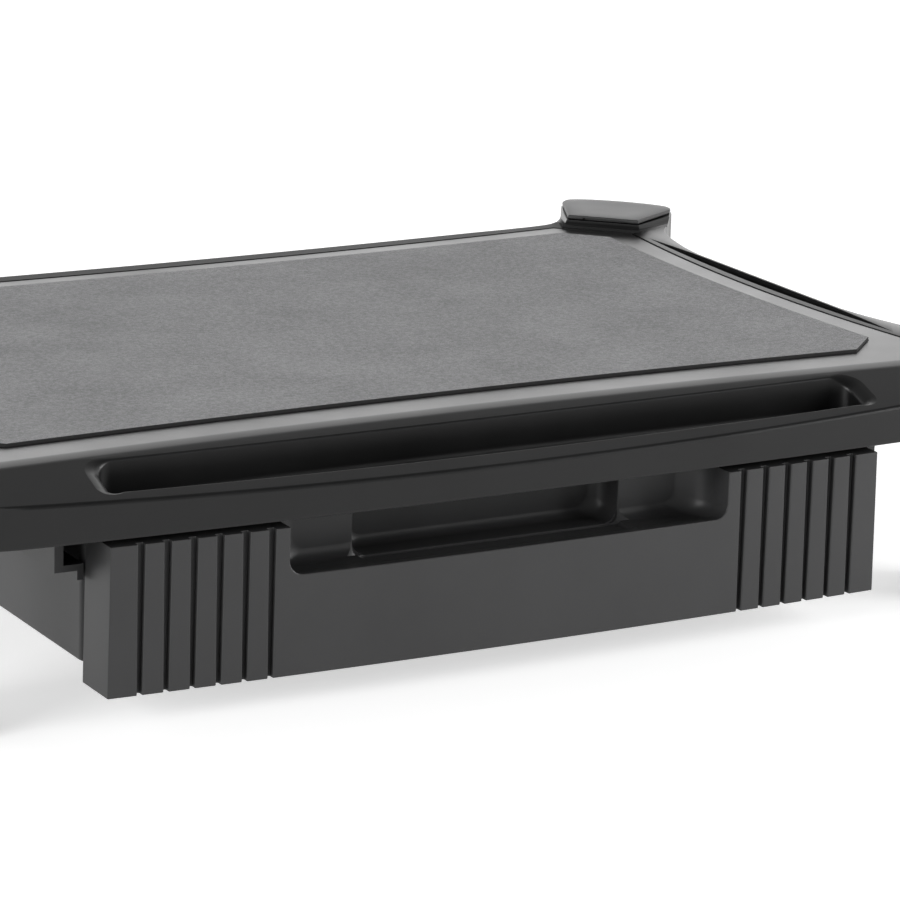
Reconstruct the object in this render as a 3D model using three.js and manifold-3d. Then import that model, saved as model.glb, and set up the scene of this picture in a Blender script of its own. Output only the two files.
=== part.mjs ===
// Monitor riser stand: a moulded deck with a grip pad and a pen tray, carried on four
// telescopic corner legs, with a wide ribbed drawer running in rails under the deck.
// Millimetres, +Z up, front towards -Y. The origin is the bottom centre of the whole stand.
import * as THREE from 'three';
import { mergeVertices } from 'three/addons/utils/BufferGeometryUtils.js';
import Module from 'manifold-3d';

const wasm = await Module();
wasm.setup();

// ---- Driving sizes -------------------------------------------------------------------
const drawerWidth = 325; // the deck's width follows from the drawer, its rails and the legs' tabs
const legPitchY = 233.4; // fore-and-aft distance between the inner faces of the leg columns
const deckTopZ = 94.6; // the smooth border round the pad, at the lowest leg setting
const gap = 0.3; // air between two fixed pieces that touch
const weld = 0.5; // how far a joined detail reaches into what carries it
const over = 1; // how far a cut runs past the face that it opens

// Deck shell
const rimHeight = 1.5;
const plateThickness = 3.6;
const deckWall = 3;
const skirtDepth = 24.6; // from the border down to the lower edge of the skirt
const lipAhead = 10.77; // front lip ahead of the front leg columns' shoulders
const lipBow = 5; // how far the middle of the lip stands ahead of its ends
const lipEndInset = 15.2; // end of the lip's curve, inside the deck's side
const lipEndGap = 4; // where the front corner's curve takes over
const rearReach = 9.8; // rear edge behind the rear leg columns, at the middle
const rearWaist = 4.8; // the rear edge is drawn in this much at the middle
const slopeAngle = THREE.MathUtils.degToRad(20.5);
const slopeTopReach = 32.8; // top of the front slope, behind the lip, at the middle
const slopeTopWaist = 5.9; // the top of the slope is drawn back this much at the middle
const slopeEndInset = 22.2;
const slopeMargin = 30; // the slope's cutter reaches this far past the deck
const flareStart = [0, 62.7]; // run of the side's flare: out from the side, short of the columns
const flareMiddle = [2.3, 46];
const flareHollow = [9.2, 20.7];
const earHollow = [14, 26.5]; // the same curve's last hollow, in the column's axes
const rearHollow = [[18.1, 24], [27.7, 16.7], [51.1, 14.4]]; // in from the side, behind the columns
const rearEndInset = 71.1; // end of the rear edge's own curve, inside the deck's side
const rearWaistShare = 0.8; // of the rear waist, taken up between the flares

// Leg column section, in its own axes: u runs outwards, v across
const columnAngle = THREE.MathUtils.degToRad(47);
const columnInset = 11.1; // column's inner face, inside the line of the deck's side
const columnInnerHalf = 16.4;
const columnOuterHalf = 25;
const columnDepth = 39.4;
const columnCrown = 11.4; // length of the rounded outer end
const crownPoints = [[6.8, 0.4], [3.4, 3.6], [1, 12.5]]; // back from the end, in from the width
const crownFade = 12; // the crown's rounding shrinks with the section over this inset
const crownLeast = 0.3;

// Rim line, pad and side troughs
const rimCornerIn = 2.7; // rim line inside the deck's side, at the corners
const rimSideWaist = 7.5;
const rimCornerY = 11.2; // ends of the rim's side line, short of the leg columns
const rimChamfer = [26.1, 23.2];
const rimRearWaist = 7.3;
const rimRunOn = 36; // the rim's line runs on this far over the front slope
const padBorder = 14.9; // smooth border between the pad's tips and the rim's corners
const padTipY = 17.2; // ends of the pad's side, short of the leg columns
const padChamfer = [16.1, 15.5];
const padSideWaist = 4.4;
const padEndWaist = 5.1;
const padThickness = 1.9;
const padPocket = 1;
const troughEndY = 23.7; // ends of the trough, short of the leg columns
const troughDepth = 9;
const troughOuterWall = 1.6;
const troughWidth = 5.3;
const troughJacket = 2;

// Pen tray
const trayEndInset = 51.7; // end of the tray inside the deck's side
const trayFrontSetback = 7.5; // front edge of the tray behind the lip
const trayWidth = 19.5;
const trayCorner = 6;
const trayFloorDrop = 17.6; // below the border
const trayWall = 2.6;

// Rear towers and their caps
const towerHeight = 3.6; // above the border
const towerInset = 0.2;
const capInset = 0.6;
const capThickness = 2.1;
const capPlugDepth = 5;
const capPlugWall = 1.6;
const capNotchHalf = 9;
const capNotchDepth = 1.2;
const capNotchReach = 1.6;

// Drawer
const drawerSetback = 4; // ends of the drawer front behind the middle of the lip
const drawerFrontHeight = 55.6;
const drawerFrontBow = 3.6;
const drawerClearance = 2.4; // under the lip
const grooveCount = 6;
const groovePitch = 10.15;
const grooveEndInset = 11.8; // outermost groove inside the drawer front's end
const grooveWidth = 2.6;
const grooveDepth = 2.4;
const pullEndInset = 70; // end of the finger pull inside the drawer front's end
const pullFloorHeight = 36; // above the drawer front's lower edge
const pullDepth = 18.5;
const pullCorner = 14;
const pullBackWall = 3.2;
const pocketEndInset = 36; // end of the pocket inside the pull's end
const pocketFloorHeight = 36.6;
const pocketDepth = 32;
const pocketWall = 2.6;
const panelSkin = 5.2;
const panelWall = 3;
const panelScrewInsets = [22.5, 84.5]; // inside the drawer front's end
const panelScrewHeight = 20; // above the drawer front's lower edge
const tubRearSpace = 26.5; // from the tub's back to the deck's rear edge
const tubWall = 2.6;
const tubFloor = 2.5;
const tubRaise = 6.3; // tub's bottom above the drawer front's lower edge
const tubSetIn = 0.9; // tub's sides inside the drawer front's ends
const tubTopDrop = 1.6; // tub's top edge below the drawer front's
const tubCorner = 5;
const tubCutoutPlay = 1; // round the finger pocket

// Rails and the drawer's runners
const runnerThickness = 2.5;
const runnerWidth = 8.2;
const runnerHeight = 45; // above the drawer front's lower edge
const runnerPlay = 0.9; // sideways, at the rail's web
const railLip = 6; // depth of the turned-down inner edge
const railLipWall = 2.4;
const railLipPlay = 1.4; // between the inner edge and the tub
const railWeb = 3.5;
const railShelf = 2.5;
const railFlange = 10;
const railTopPlate = 2.2;
const railFrontSetback = 20; // behind the ends of the drawer front's face
const railRearSpace = 37.5; // from the rail's back end to the deck's rear edge
const railGuide = 1.8;
const railGuideStart = 12;
const railGuideLift = 0.7; // air above the runner
const railStop = 3; // thickness of the rail's closed back end
const railStopPlay = 0.6;
const railScrewStations = [0.2, 0.5, 0.8]; // along the rail
const railTabPlay = 1.2; // between the rail's flange and the legs' fixing tabs

// Legs
const sleevePlay = 2; // between the sleeve and the deck's corner wall
const sleeveWall = 2.4;
const sleeveBottomZ = 10;
const sleeveTab = { reach: 14, half: 12.5, thickness: 3, screwHalfPitch: 7 };
const legPlay = 0.4;
const legWall = 2.2;
const guideHeight = 6;
const guideRelief = 0.8; // the leg is this much slimmer than its top collar
const legSpare = 3; // leg left above its guides at full height
const detentCount = 3;
const detentPitch = 20;
const detentDrop = 8; // first notch below the top collar
const detentHalf = [4, 1.5]; // half width and half height of a notch
const detentReach = 5;
const legTravel = 50;
const footFlange = 6.4;
const footPadThickness = 3;
const footPadInset = 1.6;

// Fasteners
const deckScrew = { shank: 1.8, head: 3.6, headHeight: 2, length: 9 };
const panelScrew = { shank: 1.5, head: 3, headHeight: 1.8, length: 10 };
const screwPlay = 0.3;
const screwTipPlay = 0.5;
const bossWall = 2.6;
const ribWall = 2;
const ribDepth = 6.5;
const ribStations = [0.15, 0.4, 0.65, 0.9]; // of the way from the tray to the rear wall
const ribSideInset = 2;
const roundSteps = 20;
const flareSteps = 3;
const lipSteps = 10;
const rearSteps = 8;
const faceSteps = 16;
const pullSteps = 6;
const rimSteps = 12;
const padSteps = 10;
const troughSteps = 14;
const slopeSteps = 24;

// ---- Derived levels and lines --------------------------------------------------------
const tubHalf = drawerWidth / 2 - tubSetIn;
const runnerOut = tubHalf + runnerWidth;
const railWebIn = runnerOut + runnerPlay;
const railWebOut = railWebIn + railWeb;
const tabReachX = sleeveTab.reach * Math.cos(columnAngle) + sleeveTab.half * Math.sin(columnAngle);
const halfWidth = railWebOut + railFlange + railTabPlay + tabReachX + columnInset;
const lipHalfChord = halfWidth - lipEndInset;
const slopeHalfChord = halfWidth - slopeEndInset;
const columnShoulder = columnDepth - columnCrown;
const columnX = halfWidth - columnInset;
const columnReachY = (
  columnShoulder * Math.sin(columnAngle) + columnOuterHalf * Math.cos(columnAngle)
);
const columnY = legPitchY / 2;
const rimTopZ = deckTopZ + rimHeight;
const plateUnderZ = deckTopZ - plateThickness;
const skirtBottomZ = deckTopZ - skirtDepth;
const screwSeatZ = plateUnderZ - screwTipPlay - deckScrew.length; // seats of the deck screws' heads
const lipY = -columnY - columnReachY - lipAhead;
const rearY = columnY + rearReach;
const lipEndX = lipHalfChord - lipEndGap;
const rearEndX = halfWidth - rearEndInset;
const towerTopZ = deckTopZ + towerHeight;
const trayFloorZ = deckTopZ - trayFloorDrop;
const trayHalfLength = halfWidth - trayEndInset;
const troughHalfLength = columnY - troughEndY;
const trayFrontY = lipY + trayFrontSetback;
const trayBackY = trayFrontY + trayWidth;

const frontTopZ = skirtBottomZ - drawerClearance;
const frontBottomZ = frontTopZ - drawerFrontHeight;
const frontEndY = lipY + drawerSetback;
const pullBackY = frontEndY + pullDepth;
const frontBackY = pullBackY + pullBackWall;
const pocketBackY = frontEndY + pocketDepth;
const pullFloorZ = frontBottomZ + pullFloorHeight;
const pocketFloorZ = frontBottomZ + pocketFloorHeight;
const pullHalfWidth = drawerWidth / 2 - pullEndInset;
const pocketHalfWidth = pullHalfWidth - pocketEndInset;
const tubFrontY = frontBackY + gap;
const tubBackY = rearY - tubRearSpace;
const tubBottomZ = frontBottomZ + tubRaise;
const tubTopZ = frontTopZ - tubTopDrop;
const runnerZ = frontBottomZ + runnerHeight;
const railLipIn = tubHalf + railLipPlay;
const railShelfTopZ = runnerZ - gap;
const railTopZ = screwSeatZ + gap + railTopPlate;
const railFrontY = frontEndY + railFrontSetback;
const railBackY = rearY - railRearSpace;
const railScrewX = railWebOut + railFlange / 2;
const sleeveInset = deckWall + sleevePlay;
const sleeveTopZ = screwSeatZ + gap + sleeveTab.thickness;

// ---- Solids --------------------------------------------------------------------------
const point = (x, y) => new THREE.Vector2(x, y);

// A closed three.js geometry as a solid that can be joined and cut.
function solid(geometry) {
  geometry.deleteAttribute('normal');
  geometry.deleteAttribute('uv');
  const merged = mergeVertices(geometry, 1e-4);
  return new wasm.Manifold(new wasm.Mesh({
    numProp: 3,
    vertProperties: new Float32Array(merged.attributes.position.array),
    triVerts: new Uint32Array(merged.index.array),
  }));
}

// An outline in plan, between two heights.
function slab(outline, z0, z1) {
  const options = { depth: z1 - z0, bevelEnabled: false, curveSegments: 1 };
  const geometry = new THREE.ExtrudeGeometry(new THREE.Shape(outline), options);
  return solid(geometry.translate(0, 0, z0));
}

// An outline in the XZ plane, between two stations along Y.
function bar(outline, y0, y1) {
  const options = { depth: y1 - y0, bevelEnabled: false, curveSegments: 1 };
  const geometry = new THREE.ExtrudeGeometry(new THREE.Shape(outline), options);
  return solid(geometry.rotateX(Math.PI / 2).translate(0, y1, 0));
}

function block(x0, x1, y0, y1, z0, z1) {
  const geometry = new THREE.BoxGeometry(Math.abs(x1 - x0), y1 - y0, z1 - z0);
  return solid(geometry.translate((x0 + x1) / 2, (y0 + y1) / 2, (z0 + z1) / 2));
}

function post(x, y, z0, z1, radius) {
  const geometry = new THREE.CylinderGeometry(radius, radius, z1 - z0, roundSteps);
  return solid(geometry.rotateX(Math.PI / 2).translate(x, y, (z0 + z1) / 2));
}

// A round bar lying along Y.
function pinAlongY(x, z, y0, y1, radius) {
  const geometry = new THREE.CylinderGeometry(radius, radius, y1 - y0, roundSteps);
  return solid(geometry.translate(x, (y0 + y1) / 2, z));
}

// A rectangle with rounded corners, given front-left first and counter-clockwise.
function roundedRectangle(x0, x1, y0, y1, radius, steps = 4) {
  const corners = [[x0, y0, Math.PI], [x1, y0, -Math.PI / 2], [x1, y1, 0], [x0, y1, Math.PI / 2]];
  const outline = [];
  for (const [x, y, start] of corners) {
    const centreX = x + Math.sign((x0 + x1) / 2 - x) * radius;
    const centreY = y + Math.sign((y0 + y1) / 2 - y) * radius;
    for (let i = 0; i <= steps; i += 1) {
      const angle = start + (Math.PI / 2) * (i / steps);
      outline.push(point(centreX + radius * Math.cos(angle), centreY + radius * Math.sin(angle)));
    }
  }
  return outline;
}

// The same outline, moved inwards by a distance along its own normals.
function inset(outline, distance) {
  const inwards = THREE.ShapeUtils.isClockWise(outline) ? -1 : 1;
  return outline.map((current, i) => {
    const before = outline[(i + outline.length - 1) % outline.length];
    const after = outline[(i + 1) % outline.length];
    const a = current.clone().sub(before).normalize();
    const b = after.clone().sub(current).normalize();
    const normal = point(-a.y - b.y, a.x + b.x).normalize();
    const reach = distance / Math.max(0.5, normal.dot(point(-a.y, a.x)));
    return current.clone().addScaledVector(normal, inwards * reach);
  });
}

// A smooth run through a few points.
function smooth(points, stepsPerSpan) {
  return new THREE.SplineCurve(points).getPoints((points.length - 1) * stepsPerSpan);
}

// A shallow bow between two points, standing out to the left of the way it is drawn.
function bow(start, end, sagitta, steps) {
  const outline = [];
  const side = end.clone().sub(start);
  const left = point(-side.y, side.x).normalize();
  for (let i = 0; i <= steps; i += 1) {
    const t = i / steps;
    const rise = 4 * sagitta * t * (1 - t);
    outline.push(start.clone().addScaledVector(side, t).addScaledVector(left, rise));
  }
  return outline;
}

const mirrored = (outline) => outline.map((p) => point(-p.x, p.y)).reverse();

// Column axes to plan, about the column's own foot on the leg line.
function columnPoint(u, v, side, end) {
  const c = Math.cos(columnAngle);
  const s = Math.sin(columnAngle);
  return point(side * (u * c - v * s), end * (u * s + v * c));
}

// The column's section, drawn in by a distance all round. Its outer corners are rounded.
function columnOutline(side, end, shrink) {
  const round = Math.max(crownLeast, 1 - shrink / crownFade);
  const far = columnDepth - shrink;
  const wide = columnOuterHalf - shrink;
  const half = [
    [shrink, columnInnerHalf - shrink],
    [far - columnCrown * round, wide],
    ...crownPoints.map(([back, inwards]) => [far - back * round, wide - inwards * round]),
  ];
  const otherHalf = half.map(([u, v]) => [u, -v]);
  const local = [...otherHalf, [far, 0], ...half.reverse()];
  return local.map(([u, v]) => columnPoint(u, v, side, end));
}

// A rectangle across the column, between two stations along u.
function columnRectangle(u0, u1, half, side, end) {
  const corners = [[u0, -half], [u1, -half], [u1, half], [u0, half]];
  return corners.map(([u, v]) => columnPoint(u, v, side, end));
}

const atColumn = (outline, side, end) => (
  outline.map((p) => point(p.x + side * columnX, p.y + end * columnY))
);

// ---- Deck ----------------------------------------------------------------------------
// Right half of the deck's outside, from the middle of the lip round to the middle of the back.
function deckHalfOutline() {
  const onColumn = (u, v, end) => atColumn([columnPoint(u, v, 1, end)], 1, end)[0];
  const sideFlare = (end) => smooth([
    ...[flareStart, flareMiddle, flareHollow].map(
      ([out, short]) => point(halfWidth + out, end * (columnY - short))),
    onColumn(earHollow[0], -earHollow[1], end),
    onColumn(columnShoulder, -columnOuterHalf, end),
  ], flareSteps);
  const crown = (end) => atColumn(columnOutline(1, end, 0), 1, end).slice(2, -2);
  const lip = [];
  for (let i = 0; i <= lipSteps; i += 1) {
    const x = lipEndX * (i / lipSteps);
    lip.push(point(x, lipY + lipBow * (x / lipHalfChord) ** 2));
  }
  const frontCorner = smooth([lip.at(-1), ...crown(-1).reverse().slice(1)], 2);
  const rearFlare = smooth([
    onColumn(columnShoulder, columnOuterHalf, 1),
    ...rearHollow.map(([inwards, behind]) => point(halfWidth - inwards, columnY + behind)),
  ], flareSteps);
  const rear = [];
  for (let i = 0; i < rearSteps; i += 1) {
    const t = 1 - i / rearSteps;
    rear.push(point(rearEndX * t, rearY + rearWaist * rearWaistShare * t * t));
  }
  return [...lip.slice(0, -1), ...frontCorner, ...sideFlare(-1).reverse(), ...sideFlare(1),
    ...crown(1), ...rearFlare, ...rear, point(0, rearY)];
}

function deckOutline() {
  const right = deckHalfOutline();
  return [...right, ...mirrored(right).slice(1, -1)];
}

// The foot of the rim's step, open to the front slope.
function rimOutline() {
  const corner = point(halfWidth - rimCornerIn, columnY - rimCornerY);
  const rear = point(corner.x - rimChamfer[0], corner.y + rimChamfer[1]);
  const front = point(rear.x, -rear.y);
  const right = [
    point(front.x - rimRunOn, front.y - rimRunOn * (rimChamfer[1] / rimChamfer[0])),
    ...bow(point(corner.x, -corner.y), corner, rimSideWaist, rimSteps),
    ...bow(rear, point(-rear.x, rear.y), rimRearWaist, rimSteps),
  ];
  const left = mirrored(right.slice(0, rimSteps + 2));
  return [...right, ...left];
}

function padOutline(grow) {
  const tip = point(halfWidth - rimCornerIn - padBorder, columnY - padTipY);
  const corner = point(tip.x - padChamfer[0], tip.y + padChamfer[1]);
  const outline = [
    ...bow(point(tip.x, -tip.y), tip, padSideWaist, padSteps),
    ...bow(corner, point(-corner.x, corner.y), padEndWaist, padSteps),
    ...bow(point(-tip.x, tip.y), point(-tip.x, -tip.y), padSideWaist, padSteps),
    ...bow(point(-corner.x, -corner.y), point(corner.x, -corner.y), padEndWaist, padSteps),
  ];
  return inset(outline, -grow);
}

function troughOutline(side, grow) {
  const outer = halfWidth - troughOuterWall;
  const front = point(outer, -troughHalfLength);
  const rear = point(outer, troughHalfLength);
  const outline = [...bow(front, rear, troughWidth, troughSteps), point(outer + gap, 0)];
  const shifted = inset(outline, -grow);
  return side > 0 ? shifted : mirrored(shifted);
}

// Everything above the front slope, or above a surface parallel to it and lower.
function slopeCutter(drop) {
  const front = lipY - slopeMargin;
  const reachX = halfWidth + slopeMargin;
  const topZ = deckTopZ + slopeMargin;
  const geometry = new THREE.BoxGeometry(2 * reachX, 1, 1, slopeSteps, 1, 1);
  const position = geometry.attributes.position;
  for (let i = 0; i < position.count; i += 1) {
    const x = position.getX(i);
    const slopeTopY = lipY + slopeTopReach - slopeTopWaist * (x / slopeHalfChord) ** 2;
    const y = position.getY(i) < 0 ? front : slopeTopY + slopeMargin;
    const z = deckTopZ - drop + (y - slopeTopY) * Math.tan(slopeAngle);
    position.setXYZ(i, x, y, position.getZ(i) < 0 ? z : topZ);
  }
  return solid(geometry);
}

function deckBosses() {
  const holes = [];
  const bosses = [];
  const addBoss = (x, y, bottomZ) => {
    const radius = deckScrew.shank + screwPlay;
    bosses.push(post(x, y, bottomZ, plateUnderZ + weld, radius + bossWall));
    holes.push(post(x, y, bottomZ - over, plateUnderZ - gap, radius));
  };
  for (const screw of sleeveScrewPlaces()) addBoss(screw.x, screw.y, sleeveTopZ + gap);
  for (const screw of railScrewPlaces()) addBoss(screw.x, screw.y, railTopZ + gap);
  return { bosses, holes };
}

function deckRibs() {
  const top = plateUnderZ + weld;
  const bottom = plateUnderZ - ribDepth;
  const endX = tubHalf - ribSideInset;
  const ribs = [];
  for (const x of [-endX, -endX / 2, 0, endX / 2, endX]) {
    ribs.push(
      block(x - ribWall / 2, x + ribWall / 2, trayBackY, rearY - deckWall / 2, bottom, top));
  }
  for (const t of ribStations) {
    const y = trayBackY + (rearY - trayBackY) * t;
    ribs.push(block(-endX, endX, y - ribWall / 2, y + ribWall / 2, bottom, top));
  }
  return ribs;
}

function buildDeck() {
  const outside = deckOutline();
  let deck = slab(outside, skirtBottomZ, rimTopZ);
  deck = deck.subtract(slab(rimOutline(), deckTopZ, rimTopZ + over));
  for (const side of [1, -1]) {
    const tower = atColumn(columnOutline(side, 1, towerInset), side, 1);
    deck = deck.add(slab(tower, plateUnderZ, towerTopZ));
  }
  deck = deck.subtract(slab(padOutline(gap), deckTopZ - padPocket, deckTopZ + over));
  deck = deck.subtract(slopeCutter(0));

  let hollow = slab(inset(outside, deckWall), skirtBottomZ - over, plateUnderZ);
  hollow = hollow.subtract(slopeCutter(plateThickness));
  const trayOut = trayHalfLength + trayWall;
  const trayUnderZ = trayFloorZ - trayWall;
  hollow = hollow.subtract(
    block(-trayOut, trayOut, lipY - over, trayBackY + trayWall, trayUnderZ, plateUnderZ + over));
  const troughFloorZ = rimTopZ - troughDepth;
  for (const side of [1, -1]) {
    const jacket = troughOutline(side, troughJacket);
    hollow = hollow.subtract(slab(jacket, troughFloorZ - troughJacket, plateUnderZ + over));
  }
  deck = deck.subtract(hollow);

  const pocket = roundedRectangle(
    -trayHalfLength, trayHalfLength, trayFrontY, trayBackY, trayCorner);
  deck = deck.subtract(slab(pocket, trayFloorZ, rimTopZ + over));
  for (const side of [1, -1]) {
    deck = deck.subtract(slab(troughOutline(side, 0), troughFloorZ, rimTopZ + over));
    const well = atColumn(columnOutline(side, 1, deckWall), side, 1);
    deck = deck.subtract(slab(well, plateUnderZ - over, towerTopZ + over));
  }
  for (const rib of deckRibs()) deck = deck.add(rib);
  const { bosses, holes } = deckBosses();
  for (const boss of bosses) deck = deck.add(boss);
  for (const hole of holes) deck = deck.subtract(hole);
  return deck;
}

function buildGripPad() {
  const bottom = deckTopZ - padPocket + gap;
  return slab(padOutline(0), bottom, bottom + padThickness);
}

// ---- Caps on the rear towers ---------------------------------------------------------
function buildCap(side) {
  const bottom = towerTopZ + gap;
  let cap = slab(columnOutline(side, 1, capInset), bottom, bottom + capThickness);
  const plugBottom = bottom - capPlugDepth;
  const plug = slab(columnOutline(side, 1, deckWall + gap), plugBottom, bottom + weld);
  const core = slab(
    columnOutline(side, 1, deckWall + gap + capPlugWall), plugBottom - over, bottom);
  cap = cap.add(plug.subtract(core));
  const notch = columnRectangle(-over, capNotchReach, capNotchHalf, side, 1);
  return cap.subtract(slab(notch, bottom - over, bottom + capNotchDepth));
}

// ---- Legs ----------------------------------------------------------------------------
const tabScrews = (side, end) => [-sleeveTab.screwHalfPitch, sleeveTab.screwHalfPitch].map(
  (v) => columnPoint(-sleeveTab.reach / 2, v, side, end),
);

function sleeveScrewPlaces() {
  const places = [];
  for (const [side, end] of cornerSigns) {
    places.push(...atColumn(tabScrews(side, end), side, end));
  }
  return places;
}

function buildSleeve(side, end) {
  const outer = columnOutline(side, end, sleeveInset);
  let sleeve = slab(outer, sleeveBottomZ, sleeveTopZ);
  const bore = columnOutline(side, end, sleeveInset + sleeveWall);
  sleeve = sleeve.subtract(slab(bore, sleeveBottomZ + guideHeight, sleeveTopZ + over));
  const collar = columnOutline(side, end, sleeveInset + sleeveWall + guideRelief);
  sleeve = sleeve.subtract(
    slab(collar, sleeveBottomZ - over, sleeveBottomZ + guideHeight + over));
  const { reach, half, thickness } = sleeveTab;
  const tab = columnRectangle(-reach, sleeveInset + over, half, side, end);
  const tabUnderZ = sleeveTopZ - thickness;
  sleeve = sleeve.add(slab(tab, tabUnderZ, sleeveTopZ));
  for (const { x, y } of tabScrews(side, end)) {
    sleeve = sleeve.subtract(
      post(x, y, tabUnderZ - over, sleeveTopZ + over, deckScrew.shank + screwPlay));
  }
  return sleeve;
}

function buildLeg(side, end) {
  const slim = sleeveInset + sleeveWall + guideRelief + legPlay;
  const collarInset = sleeveInset + sleeveWall + legPlay;
  const topZ = sleeveBottomZ + guideHeight * 2 + legTravel + legSpare;
  const footTopZ = sleeveBottomZ - gap;
  const footBottomZ = footTopZ - footFlange;
  let leg = slab(columnOutline(side, end, slim), footBottomZ, topZ);
  leg = leg.add(slab(columnOutline(side, end, collarInset), topZ - guideHeight, topZ));
  leg = leg.add(slab(columnOutline(side, end, sleeveInset), footBottomZ, footTopZ));
  const hollow = columnOutline(side, end, slim + legWall);
  leg = leg.subtract(slab(hollow, footBottomZ + footFlange / 2, topZ + over));
  const [notchHalf, notchRise] = detentHalf;
  const notch = columnRectangle(-detentReach, slim + over, notchHalf, side, end);
  for (let i = 0; i < detentCount; i += 1) {
    const z = topZ - guideHeight - detentDrop - i * detentPitch;
    leg = leg.subtract(slab(notch, z - notchRise, z + notchRise));
  }
  return leg;
}

function buildFootPad(side, end) {
  const top = sleeveBottomZ - gap - footFlange - gap;
  const outline = columnOutline(side, end, sleeveInset + footPadInset);
  return slab(outline, top - footPadThickness, top);
}

// ---- Rails ---------------------------------------------------------------------------
function railScrewPlaces() {
  const places = [];
  for (const side of [1, -1]) {
    for (const t of railScrewStations) {
      places.push(point(side * railScrewX, railFrontY + (railBackY - railFrontY) * t));
    }
  }
  return places;
}

function buildRail(side) {
  const shelfUnderZ = railShelfTopZ - railShelf;
  const section = [
    [railWebOut + railFlange, railTopZ], [railWebIn, railTopZ], [railWebIn, railShelfTopZ],
    [railLipIn, railShelfTopZ], [railLipIn, railShelfTopZ - railLip],
    [railLipIn + railLipWall, railShelfTopZ - railLip], [railLipIn + railLipWall, shelfUnderZ],
    [railWebOut, shelfUnderZ], [railWebOut, railTopZ - railTopPlate],
    [railWebOut + railFlange, railTopZ - railTopPlate],
  ];
  let rail = bar(section.map(([x, z]) => point(side * x, z)), railFrontY, railBackY);
  const guideZ = runnerZ + runnerThickness + railGuideLift;
  const inner = side * railLipIn;
  const outer = side * (railWebIn + weld);
  const guide = block(
    inner, outer, railFrontY + railGuideStart, railBackY, guideZ, guideZ + railGuide);
  const stop = block(
    inner, outer, railBackY - railStop, railBackY, railShelfTopZ - weld, guideZ + weld);
  rail = rail.add(guide).add(stop);
  for (const { x, y } of railScrewPlaces().filter((place) => place.x * side > 0)) {
    rail = rail.subtract(post(
      x, y, railTopZ - railTopPlate - over, railTopZ + over, deckScrew.shank + screwPlay));
  }
  return rail;
}

// ---- Drawer --------------------------------------------------------------------------
const frontFaceY = (x) => (
  frontEndY - drawerFrontBow * (1 - (x / (drawerWidth / 2)) ** 2)
);

const panelScrewX = [-1, 1].flatMap(
  (side) => panelScrewInsets.map((inwards) => side * (drawerWidth / 2 - inwards)),
);
const panelScrewZ = frontBottomZ + panelScrewHeight;

function buildDrawerFront() {
  const half = drawerWidth / 2;
  const face = [];
  for (let i = 0; i <= faceSteps; i += 1) {
    const x = -half + drawerWidth * (i / faceSteps);
    face.push(point(x, frontFaceY(x)));
  }
  const outline = [...face, point(half, frontBackY), point(-half, frontBackY)];
  let front = slab(outline, frontBottomZ, frontTopZ);

  const skinY = frontEndY + panelSkin;
  const pullOut = pullHalfWidth + pocketWall;
  for (const side of [1, -1]) {
    front = front.subtract(block(side * pullOut, side * (half - panelWall),
      skinY, frontBackY + over, frontBottomZ + panelWall, frontTopZ - panelWall));
  }
  front = front.subtract(block(-pullOut - over, pullOut + over, skinY, frontBackY + over,
    frontBottomZ + panelWall, pullFloorZ - panelWall));

  const pocketOut = pocketHalfWidth + pocketWall;
  front = front.add(block(-pocketOut, pocketOut, pullBackY, pocketBackY + pocketWall,
    pocketFloorZ - pocketWall, frontTopZ));
  const aheadY = frontEndY - drawerFrontBow - 2 * pullCorner;
  const pull = roundedRectangle(
    -pullHalfWidth, pullHalfWidth, aheadY, pullBackY, pullCorner, pullSteps);
  front = front.subtract(slab(pull, pullFloorZ, frontTopZ + over));
  const pocket = roundedRectangle(
    -pocketHalfWidth, pocketHalfWidth, aheadY, pocketBackY, pullCorner / 2);
  front = front.subtract(slab(pocket, pocketFloorZ, frontTopZ + over));

  for (let i = 0; i < grooveCount; i += 1) {
    for (const side of [1, -1]) {
      const x = side * (half - grooveEndInset - groovePitch * i);
      const faceY = frontFaceY(x);
      front = front.subtract(block(x - grooveWidth / 2, x + grooveWidth / 2,
        faceY - over, faceY + grooveDepth, frontBottomZ - over, frontTopZ + over));
    }
  }
  for (const x of panelScrewX) {
    const radius = panelScrew.shank + screwPlay;
    front = front.add(
      pinAlongY(x, panelScrewZ, skinY - weld, frontBackY, radius + bossWall));
    front = front.subtract(
      pinAlongY(x, panelScrewZ, frontBackY - panelScrew.length, frontBackY + over, radius));
  }
  return front;
}

function buildDrawerTub() {
  let tub = slab(roundedRectangle(-tubHalf, tubHalf, tubFrontY, tubBackY, tubCorner),
    tubBottomZ, tubTopZ);
  const inside = roundedRectangle(-tubHalf + tubWall, tubHalf - tubWall,
    tubFrontY + tubWall, tubBackY - tubWall, tubCorner - tubWall);
  tub = tub.subtract(slab(inside, tubBottomZ + tubFloor, tubTopZ + over));
  const wallFromY = tubFrontY - over;
  const wallToY = tubFrontY + tubWall + over;
  const pocketOut = pocketHalfWidth + pocketWall + tubCutoutPlay;
  tub = tub.subtract(block(-pocketOut, pocketOut, wallFromY, wallToY,
    pocketFloorZ - pocketWall - tubCutoutPlay, tubTopZ + over));
  for (const side of [1, -1]) {
    tub = tub.add(block(side * (tubHalf - weld), side * runnerOut, tubFrontY + tubCorner,
      railBackY - railStop - railStopPlay, runnerZ, runnerZ + runnerThickness));
  }
  for (const x of panelScrewX) {
    tub = tub.subtract(
      pinAlongY(x, panelScrewZ, wallFromY, wallToY, panelScrew.shank + screwPlay));
  }
  return tub;
}

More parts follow.
